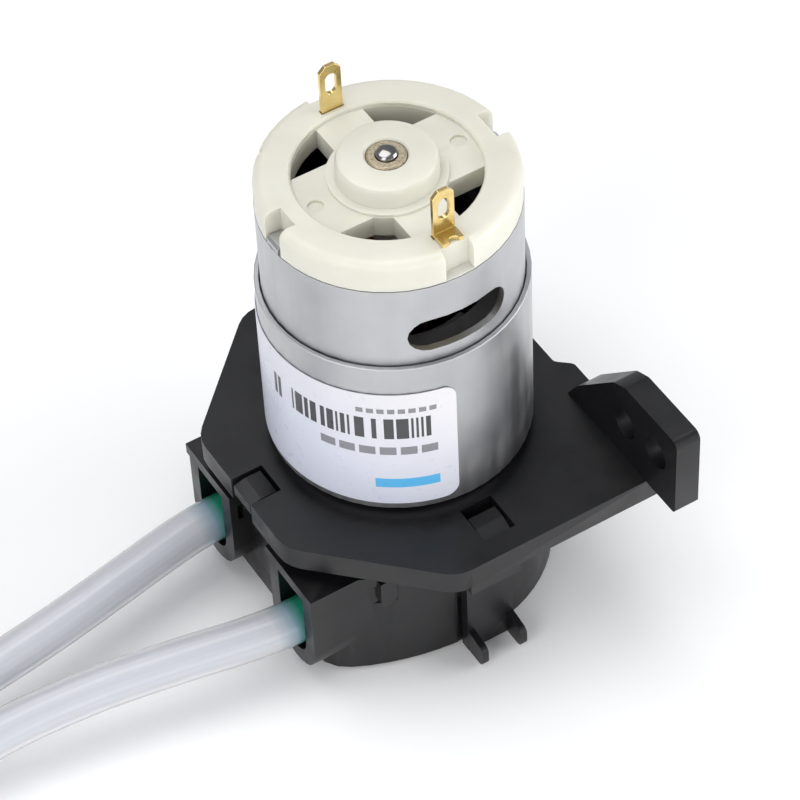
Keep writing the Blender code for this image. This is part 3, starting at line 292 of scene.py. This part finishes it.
def enamelled_copper():
    made = Finish("enamelled_copper", (0.62, 0.25, 0.09), 0.25, 1.0)
    made.colour(made.mix(made.noise(900.0, 3.0), (0.48, 0.17, 0.055), (0.72, 0.31, 0.12)))
    made.roughness(made.spread(made.noise(2000.0), 0.18, 0.32))
    made.set(Coat_Weight=0.5, Coat_Roughness=0.15)
    return made.material


def inner_moulding():
    made = Finish("inner_moulding", (0.76, 0.76, 0.73), 0.42)
    made.colour(made.mix(made.noise(220.0, 3.0), (0.70, 0.70, 0.67), (0.80, 0.80, 0.77)))
    made.bump(made.noise(3000.0, 2.0), 0.000015, 0.3)
    return made.material


def carbon():
    made = Finish("carbon", (0.05, 0.05, 0.052), 0.55)
    made.colour(made.mix(made.noise(3000.0, 4.0), (0.03, 0.03, 0.032), (0.10, 0.10, 0.105)))
    made.bump(made.noise(4200.0, 3.0), 0.00002, 0.5)
    return made.material


def roller_moulding():
    made = Finish("roller_moulding", (0.34, 0.35, 0.37), 0.3)
    made.colour(made.mix(made.noise(300.0, 3.0), (0.29, 0.30, 0.32), (0.38, 0.39, 0.41)))
    made.roughness(made.spread(made.noise(900.0, 3.0, (1.0, 1.0, 6.0)), 0.22, 0.36))
    return made.material


def green_moulding():
    made = Finish("green_moulding", (0.01, 0.40, 0.20), 0.28)
    made.colour(made.mix(made.noise(260.0, 3.0), (0.006, 0.40, 0.18), (0.02, 0.55, 0.28)))
    made.bump(made.noise(2600.0, 2.0), 0.00001, 0.3)
    made.set(Subsurface_Weight=0.15, Subsurface_Radius=(0.2, 0.8, 0.4), Subsurface_Scale=0.0008)
    return made.material


TINT_REACH = (-0.0204, -0.0190)     # metres along x: where a hose end takes the joiner's green


def clear_silicone():
    """Milky silicone with faint extrusion lines round it; the green joiner shows through its very end."""
    made = Finish("clear_silicone", (0.80, 0.79, 0.80), 0.14)
    parts = made.node("ShaderNodeSeparateXYZ")
    made.link(made.place(), parts.inputs["Vector"])
    tint = made.spread(parts.outputs["X"], 0.0, 1.0, -0.0225, -0.0200)
    around = made.node("ShaderNodeSeparateXYZ")
    made.link(made.place((HOSE_LINES, 0.0, 0.0), "UV"), around.inputs["Vector"])
    dice = made.node("ShaderNodeTexNoise", noise_dimensions='1D')
    dice.inputs["Scale"].default_value = 1.0
    made.link(around.outputs["X"], dice.inputs["W"])
    wall = made.mix(made.spread(dice.outputs["Fac"], 0.0, 1.0), (0.80, 0.79, 0.805), (0.88, 0.87, 0.875))
    wall = made.mix(tint, wall, (0.34, 0.50, 0.60))
    near_port = made.spread(parts.outputs["X"], 0.0, 1.0, *TINT_REACH)
    made.colour(made.mix(near_port, wall, (0.03, 0.36, 0.22)))
    made.set(Transmission_Weight=0.55, IOR=1.41)
    return made.material


def hose_bore_painted_shade():
    """The wet-looking inner wall, painted pale blue: painted shade that makes the middle of the hose read
    as its cooler, shaded core.
    """
    # painted shade: a pale blue base colour and blue noise on the bore, standing in for the hose's shaded
    # core
    made = Finish("hose_bore_painted_shade", (0.62, 0.70, 0.86), 0.18)
    made.colour(made.mix(made.noise(160.0, 3.0), (0.56, 0.65, 0.84), (0.68, 0.75, 0.88)))
    made.set(Transmission_Weight=0.2, IOR=1.41)
    return made.material


# Areas of the label, (from, to) along it and up it, in metres.
LABEL_BARS = ((0.0021, 0.0230), (0.0103, 0.0134))
LABEL_SMALL_DASHES = ((0.0021, 0.0110), (0.0142, 0.0149))
LABEL_LARGE_DASHES = ((0.0021, 0.0150), (0.0078, 0.0090))
LABEL_BLOCK = ((0.0021, 0.0090), (0.0026, 0.0040))
BAR_PITCH, BAR_SHARE = 0.00026, 0.5     # one column of the bars, and how many columns are inked
SMALL_DASH = (0.0011, 0.7)              # pitch, and the inked share of it
LARGE_DASH = (0.0022, 0.8)
DASH_INK = 0.72
WASH_SLANT = 1.6                        # how fast the blue wash climbs along the label
WASH_REACH = (-0.022, 0.006)
WASH_STRENGTH = 0.6


def label_film():
    """White film, washed blue low down, with plain printed bars, dashes and one block."""
    made = Finish("label_film", (0.85, 0.85, 0.88), 0.3)
    parts = made.node("ShaderNodeSeparateXYZ")
    made.link(made.place(coordinate="UV"), parts.inputs["Vector"])
    along, up = parts.outputs["X"], parts.outputs["Y"]

    def inside(area):
        """1 within the area, else 0."""
        (left, right), (low, high) = area
        held = made.maths(along, left, 'GREATER_THAN')
        for value, limit, test in ((along, right, 'LESS_THAN'), (up, low, 'GREATER_THAN'),
                                   (up, high, 'LESS_THAN')):
            held = made.maths(held, made.maths(value, limit, test), 'MULTIPLY')
        return held

    def columns(pitch, share):
        """Columns of random ink: pitch wide each, inked in the given share of them."""
        dice = made.node("ShaderNodeTexWhiteNoise", noise_dimensions='1D')
        made.link(made.maths(made.maths(along, pitch, 'DIVIDE'), 0.0, 'FLOOR'), dice.inputs["W"])
        return made.maths(dice.outputs["Value"], share, 'LESS_THAN')

    def dashes(pitch, share):
        """Even dashes: pitch long each, inked over the given share of it."""
        return made.maths(made.maths(made.maths(along, pitch, 'DIVIDE'), 0.0, 'FRACT'), share, 'LESS_THAN')

    ink = made.maths(columns(BAR_PITCH, BAR_SHARE), inside(LABEL_BARS), 'MULTIPLY')
    for area, (pitch, share) in ((LABEL_SMALL_DASHES, SMALL_DASH), (LABEL_LARGE_DASHES, LARGE_DASH)):
        marks = made.maths(dashes(pitch, share), inside(area), 'MULTIPLY')
        ink = made.maths(ink, made.maths(marks, DASH_INK, 'MULTIPLY'), 'MAXIMUM')
    slant = made.maths(along, made.maths(up, WASH_SLANT, 'MULTIPLY'), 'SUBTRACT')
    wash = made.spread(slant, 0.0, WASH_STRENGTH, *WASH_REACH)
    film = made.mix(made.noise(90.0, 2.0), (0.68, 0.67, 0.70), (0.73, 0.72, 0.74))
    film = made.mix(wash, film, (0.52, 0.56, 0.70))
    film = made.mix(inside(LABEL_BLOCK), film, (0.10, 0.42, 0.72))
    made.colour(made.mix(ink, film, (0.05, 0.05, 0.055)))
    made.roughness(made.spread(made.noise(700.0, 2.0), 0.26, 0.36))
    return made.material


# ---------------------------------------------------------------- pieces
def mesh_piece(name, shape):
    mesh = bpy.data.meshes.new(name)
    shape.to_mesh(mesh)
    shape.free()
    piece = bpy.data.objects.new(name, mesh)
    bpy.context.collection.objects.link(piece)
    return piece


def smoothed(piece, sharp):
    """Smooth shading, with edges past the sharp angle, in degrees, kept crisp."""
    piece.data.shade_smooth()
    piece.data.set_sharp_from_angle(angle=math.radians(sharp))
    return piece


def fit(piece, node):
    """Put a piece in its node's place: on the same body, with the same slot and its finish."""
    piece.data.materials.append(FINISHES[SLOT_OF[node]])
    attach(piece, BODY_OF[node])
    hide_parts(node)
    return piece


MERGE_WITHIN = 0.000002       # metres
FLAT_WITHIN = 0.6             # degrees: faces this close to level become one
EDGE_FROM = 34.0              # degrees: edges past this are rounded over


def softened(node, width):
    """The node's own shape with its edges rounded over, as a mould or a press leaves them."""
    shape = bmesh.new()
    shape.from_mesh(frame["nodes"][node].data)
    bmesh.ops.remove_doubles(shape, verts=shape.verts, dist=MERGE_WITHIN)
    bmesh.ops.dissolve_limit(shape, angle_limit=math.radians(FLAT_WITHIN), verts=shape.verts,
                             edges=shape.edges)
    piece = smoothed(mesh_piece(f"{node}_finished", shape), EDGE_FROM)
    bevel = piece.modifiers.new("rounded_edges", 'BEVEL')
    bevel.width = width * MM
    bevel.segments = 2
    bevel.limit_method = 'ANGLE'
    bevel.angle_limit = math.radians(EDGE_FROM)
    bevel.harden_normals = True
    bevel.use_clamp_overlap = True
    return fit(piece, node)


# How far edges are rounded over, by material slot, in millimetres.
EDGE_WIDTH = {"black_moulding": 0.2, "zinc_steel": 0.12, "cap_nylon": 0.18, "terminal_brass": 0.06,
              "sintered_bronze": 0.08, "ground_steel": 0.06, "lamination_iron": 0.05, "ferrite": 0.2,
              "inner_moulding": 0.12, "carbon": 0.1, "roller_moulding": 0.15, "enamelled_copper": 0.1,
              "clear_silicone": 0.12}


# ---------------------------------------------------------------- label
LABEL_COLUMNS = 72
LABEL_CORNER = 1.6        # millimetres


def make_label():
    """A curved skin with rounded corners, its UVs in metres along and up the film."""
    low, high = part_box("label")
    corners = [vertex.co for vertex in frame["nodes"]["label"].data.vertices]
    outer = max(math.hypot(spot.x, spot.y) for spot in corners)
    inner = min(math.hypot(spot.x, spot.y) for spot in corners)
    angles = [math.atan2(spot.y, spot.x) % (2 * math.pi) for spot in corners]
    end, start = max(angles), min(angles)
    corner = LABEL_CORNER * MM
    length = (end - start) * outer
    shape = bmesh.new()
    film = shape.loops.layers.uv.new("film")
    columns = []
    for step in range(LABEL_COLUMNS + 1):
        share = 0.5 - 0.5 * math.cos(math.pi * step / LABEL_COLUMNS)
        angle = end - (end - start) * share
        reach = min(share, 1.0 - share) * length
        inset = corner - math.sqrt(max(corner ** 2 - max(corner - reach, 0.0) ** 2, 0.0))
        spots = [(radius, z) for radius in (outer, inner) for z in (low.z + inset, high.z - inset)]
        columns.append(([shape.verts.new((radius * math.cos(angle), radius * math.sin(angle), z))
                         for radius, z in spots], share * length))
    for (first, along_a), (second, along_b) in zip(columns, columns[1:]):
        for a, b in ((0, 1), (1, 3), (3, 2), (2, 0)):
            face = shape.faces.new((first[a], second[a], second[b], first[b]))
            for loop, along in zip(face.loops, (along_a, along_b, along_b, along_a)):
                loop[film].uv = (along, loop.vert.co.z - low.z)
    for spots, along in (columns[0], columns[-1]):
        face = shape.faces.new((spots[0], spots[1], spots[3], spots[2]))
        for loop in face.loops:
            loop[film].uv = (along, loop.vert.co.z - low.z)
    bmesh.ops.recalc_face_normals(shape, faces=shape.faces)
    fit(smoothed(mesh_piece("label_film", shape), 40.0), "label")


# ---------------------------------------------------------------- hoses, in millimetres
HOSE_FRONT = ((-17.6, -8.7, 7.6), (-20.5, -8.65, 7.6), (-25.0, -8.1, 7.6), (-33.0, -6.5, 7.6),
              (-42.0, -4.9, 7.4), (-52.0, -3.9, 6.8), (-62.0, -4.0, 5.6), (-72.0, -5.3, 4.2),
              (-82.0, -7.9, 3.1), (-92.0, -11.6, 2.6), (-100.0, -15.4, 2.6))
HOSE_BACK = tuple((x, -y, z) for x, y, z in HOSE_FRONT)
HOSE_R = 2.5
BORE_R = 1.5
HOSE_SIDES = 32
HOSE_LINES = 26.0          # extrusion lines round a hose


def smooth_line(points, parts=6):
    """A smooth curve through the points, in metres."""
    spots = [Vector(point) * MM for point in points]
    padded = [spots[0] * 2 - spots[1]] + spots + [spots[-1] * 2 - spots[-2]]
    line = []
    for a, b, c, d in zip(padded, padded[1:], padded[2:], padded[3:]):
        for part in range(parts):
            t = part / parts
            line.append(0.5 * (2 * b + (c - a) * t + (2 * a - 5 * b + 4 * c - d) * t ** 2
                               + (3 * b - a - 3 * c + d) * t ** 3))
    line.append(spots[-1])
    return line


def swept_tube(line, radii, sides):
    """A tube along a line; radii is (outer, bore). Its UVs run once round it and, in metres, along it."""
    shape = bmesh.new()
    sheet = shape.loops.layers.uv.new("sheet")
    skins = []
    walked = 0.0
    for index, spot in enumerate(line):
        walked += (spot - line[index - 1]).length if index else 0.0
        along = (line[min(index + 1, len(line) - 1)] - line[max(index - 1, 0)]).normalized()
        across = along.cross(Vector((0.0, 0.0, 1.0))).normalized()
        upward = across.cross(along)
        rings = []
        for radius in radii:
            spokes = [across * math.cos(turn) + upward * math.sin(turn)
                      for turn in (2 * math.pi * side / sides for side in range(sides))]
            rings.append([shape.verts.new(spot + spoke * radius * MM) for spoke in spokes])
        skins.append((rings, walked))

    def wall(corners, places, skin=0):
        face = shape.faces.new(corners)
        face.material_index = skin
        for loop, place in zip(face.loops, places):
            loop[sheet].uv = place

    for (first, low), (second, high) in zip(skins, skins[1:]):
        for skin in (0, 1):
            for side in range(sides):
                after = (side + 1) % sides
                left, right = side / sides, (side + 1) / sides
                wall((first[skin][side], first[skin][after], second[skin][after], second[skin][side]),
                     ((left, low), (right, low), (right, high), (left, high)), skin)
    for (outer, bore), walked in (skins[0], skins[-1]):
        for side in range(sides):
            after = (side + 1) % sides
            left, right = side / sides, (side + 1) / sides
            wall((outer[side], outer[after], bore[after], bore[side]),
                 ((left, walked), (right, walked), (right, walked), (left, walked)))
    bmesh.ops.recalc_face_normals(shape, faces=shape.faces)
    return shape


def make_hose(name, points, node):
    line = smooth_line(points)
    hose = smoothed(mesh_piece(name, swept_tube(line, (HOSE_R, BORE_R), HOSE_SIDES)), 50.0)
    fit(hose, node)
    # the bore faces take the pale blue painted shade of the hose's core
    hose.data.materials.append(BORE_PAINTED_SHADE)


# ---------------------------------------------------------------- joiners, in millimetres
COLLAR_T = 1.4
JOINER_BORE_R = 0.8
STUB_R = 1.2
STUB_TIP_R = 1.05
BARB_R = 1.47
BARB_BACK = 4.6           # how far the barbs reach into the outlet hose
GRIP_HALF_WIDTH = 2.3
GRIP_INSET = 0.15         # from the collar's faces
GRIP_CORNER = 0.7
GRIP_FOOT = 2.0           # where the grip starts, above the joiner's middle


def turned_along_x(name, profile, centre, segments=40):
    """Turn (x, radius) about a line along X through centre."""
    shape = bmesh.new()
    points = [shape.verts.new((x * MM, radius * MM, 0.0)) for x, radius in profile]
    for first, second in zip(points, points[1:] + points[:1]):
        shape.edges.new((first, second))
    bmesh.ops.spin(shape, geom=shape.verts[:] + shape.edges[:], cent=(0, 0, 0), axis=(1, 0, 0),
                   angle=2 * math.pi, steps=segments, use_merge=True)
    bmesh.ops.remove_doubles(shape, verts=shape.verts, dist=1e-8)
    bmesh.ops.recalc_face_normals(shape, faces=shape.faces)
    bmesh.ops.translate(shape, verts=shape.verts, vec=(0.0, centre[0], centre[1]))
    return smoothed(mesh_piece(name, shape), 40.0)


def grip_outline(middle, top):
    """The grip's (y, z) outline about the joiner's middle height, with rounded upper corners."""
    half, corner = GRIP_HALF_WIDTH, GRIP_CORNER
    outline = [(-half, middle + GRIP_FOOT)]
    for centre, start in ((-half + corner, 180), (half - corner, 90)):
        for step in range(5):
            angle = math.radians(start - 22.5 * step)
            outline.append((centre + corner * math.cos(angle), top - corner + corner * math.sin(angle)))
    return outline + [(half, middle + GRIP_FOOT)]


def make_joiner(node):
    """A collar with a grip standing up, a stub in the pump tube and a barbed one in the outlet hose."""
    low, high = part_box(node)
    left, right, top = low.x / MM, high.x / MM, high.z / MM
    collar = (high.y - low.y) / 2 / MM
    centre = ((low.y + high.y) / 2, low.z + collar * MM)
    face = left + COLLAR_T
    barb = [(left - BARB_BACK, JOINER_BORE_R), (left - BARB_BACK, STUB_R - 0.05)]
    for crest in (left - 3.2, left - 1.7):
        barb += [(crest, BARB_R), (crest + 0.1, STUB_R)]
    barb.append((left - 0.1, STUB_R))
    ring = [(left, collar - 0.5), (left + 0.15, collar - 0.15), (left + 0.5, collar), (face - 0.5, collar),
            (face - 0.15, collar - 0.15), (face, collar - 0.5)]
    stub = [(face, STUB_R), (right - 0.3, STUB_R), (right, STUB_TIP_R), (right, JOINER_BORE_R)]
    joiner = turned_along_x(f"{node}_finished", barb + ring + stub, centre)
    shape = bmesh.new()
    shape.from_mesh(joiner.data)
    outline = grip_outline(centre[1] / MM, top)
    sides = []
    for x in (left + GRIP_INSET, face - GRIP_INSET):
        sides.append([shape.verts.new((x * MM, centre[0] + y * MM, z * MM)) for y, z in outline])
    grip = [shape.faces.new(sides[0]), shape.faces.new(sides[1][::-1])]
    for index in range(len(outline)):
        after = (index + 1) % len(outline)
        grip.append(shape.faces.new((sides[0][index], sides[1][index], sides[1][after], sides[0][after])))
    bmesh.ops.recalc_face_normals(shape, faces=grip)
    shape.to_mesh(joiner.data)
    shape.free()
    fit(joiner, node)


# ---------------------------------------------------------------- windings
WIRE_R = 0.22             # millimetres
WIRE_SIDES = 8
TURNS = 9
LAYERS = 3
LAYER_STEP = 1.8          # in wire radii
COIL_CORNER = 1.1         # millimetres


def coil_tree():
    """Turns of wire: one loop of curve, repeated at a pitch along X, given the wire's thickness."""
    tree = bpy.data.node_groups.new("wire_turns", 'GeometryNodeTree')
    for name, kind in (("Geometry", 'Geometry'), ("Turns", 'Int'), ("Pitch", 'Float'),
                       ("Wire radius", 'Float'), ("Finish", 'Material')):
        tree.interface.new_socket(name=name, socket_type=f"NodeSocket{kind}", in_out='INPUT')
    tree.interface.new_socket(name="Geometry", socket_type='NodeSocketGeometry', in_out='OUTPUT')
    nodes, links = tree.nodes, tree.links
    given = nodes.new("NodeGroupInput")
    result = nodes.new("NodeGroupOutput")
    loop = nodes.new("GeometryNodeMeshToCurve")
    rows = nodes.new("GeometryNodeMeshLine")
    step = nodes.new("ShaderNodeCombineXYZ")
    copies = nodes.new("GeometryNodeInstanceOnPoints")
    real = nodes.new("GeometryNodeRealizeInstances")
    wire = nodes.new("GeometryNodeCurvePrimitiveCircle")
    sweep = nodes.new("GeometryNodeCurveToMesh")
    coat = nodes.new("GeometryNodeSetMaterial")
    wire.inputs["Resolution"].default_value = WIRE_SIDES
    for output, target in ((given.outputs["Geometry"], loop.inputs["Mesh"]),
                           (given.outputs["Turns"], rows.inputs["Count"]),
                           (given.outputs["Pitch"], step.inputs["X"]),
                           (step.outputs["Vector"], rows.inputs["Offset"]),
                           (rows.outputs["Mesh"], copies.inputs["Points"]),
                           (loop.outputs["Curve"], copies.inputs["Instance"]),
                           (copies.outputs["Instances"], real.inputs["Geometry"]),
                           (real.outputs["Geometry"], sweep.inputs["Curve"]),
                           (given.outputs["Wire radius"], wire.inputs["Radius"]),
                           (wire.outputs["Curve"], sweep.inputs["Profile Curve"]),
                           (sweep.outputs["Mesh"], coat.inputs["Geometry"]),
                           (given.outputs["Finish"], coat.inputs["Material"]),
                           (coat.outputs["Geometry"], result.inputs["Geometry"])):
        links.new(output, target)
    return tree


def wire_loop(half_width, low, high, start):
    """One closed turn round a pole, at its first place along X."""
    shape = bmesh.new()
    corner = COIL_CORNER
    spots = []
    for y, z, first in ((half_width, high, 0), (-half_width, high, 90), (-half_width, low, 180),
                        (half_width, low, 270)):
        middle = (y - math.copysign(corner, y), z - math.copysign(corner, z - (low + high) / 2))
        for step in range(5):
            angle = math.radians(first + 22.5 * step)
            spots.append((start, middle[0] + corner * math.cos(angle),
                          middle[1] + corner * math.sin(angle)))
    ring = [shape.verts.new(Vector(spot) * MM) for spot in spots]
    for first, second in zip(ring, ring[1:] + ring[:1]):
        shape.edges.new((first, second))
    return shape


def make_winding(index, tree):
    """A coil round one pole: layers of turns on each other."""
    node = f"winding_{index + 1}"
    low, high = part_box("winding_1")
    start, end, half = low.x / MM + WIRE_R, high.x / MM - WIRE_R, high.y / MM
    sockets = {item.name: item.identifier for item in tree.interface.items_tree if item.in_out == 'INPUT'}
    layers = []
    for layer in range(LAYERS):
        inset = WIRE_R + layer * LAYER_STEP * WIRE_R
        loop = mesh_piece("turn", wire_loop(half - inset, low.z / MM + inset, high.z / MM - inset, start))
        turns = loop.modifiers.new("turns", 'NODES')
        turns.node_group = tree
        turns[sockets["Turns"]] = TURNS
        turns[sockets["Pitch"]] = (end - start) / (TURNS - 1) * MM
        turns[sockets["Wire radius"]] = WIRE_R * MM
        turns[sockets["Finish"]] = FINISHES["enamelled_copper"]
        bpy.context.view_layer.update()
        finished = loop.evaluated_get(bpy.context.evaluated_depsgraph_get())
        layers.append(bpy.data.meshes.new_from_object(finished))
        bpy.data.objects.remove(loop, do_unlink=True)
    shape = bmesh.new()
    for mesh in layers:
        shape.from_mesh(mesh)
        bpy.data.meshes.remove(mesh)
    bmesh.ops.rotate(shape, verts=shape.verts, cent=(0, 0, 0),
                     matrix=Matrix.Rotation(math.radians(120 * index), 3, 'Z'))
    bmesh.ops.recalc_face_normals(shape, faces=shape.faces)
    piece = mesh_piece(f"{node}_wound", shape)
    piece.data.shade_smooth()
    fit(piece, node)


# ---------------------------------------------------------------- the whole pump
place_camera()
FINISHES = {"black_moulding": black_moulding(), "zinc_steel": zinc_steel(), "label_film": label_film(),
            "cap_nylon": natural_nylon(), "terminal_brass": bright_brass(),
            "sintered_bronze": sintered_bronze(), "ground_steel": ground_steel(),
            "lamination_iron": lamination_iron(), "ferrite": ferrite(),
            "enamelled_copper": enamelled_copper(), "inner_moulding": inner_moulding(), "carbon": carbon(),
            "green_moulding": green_moulding(), "clear_silicone": clear_silicone(),
            "roller_moulding": roller_moulding()}
# the finish for hose bores: pale blue painted shade for the hose's core
BORE_PAINTED_SHADE = hose_bore_painted_shade()

make_hose("outlet_hose_front_hollow", HOSE_FRONT, "outlet_hose_front")
make_hose("outlet_hose_back_hollow", HOSE_BACK, "outlet_hose_back")
softened("pump_tube", EDGE_WIDTH[SLOT_OF["pump_tube"]])
make_label()
for joiner in ("connector_front", "connector_back"):
    make_joiner(joiner)
wire_turns = coil_tree()
for pole in range(3):
    make_winding(pole, wire_turns)
made_already = {"outlet_hose_front", "outlet_hose_back", "pump_tube", "label", "connector_front",
                "connector_back", "winding_1", "winding_2", "winding_3"}
for cad_node in sorted(set(SLOT_OF) - made_already):
    softened(cad_node, EDGE_WIDTH[SLOT_OF[cad_node]])
build_studio()
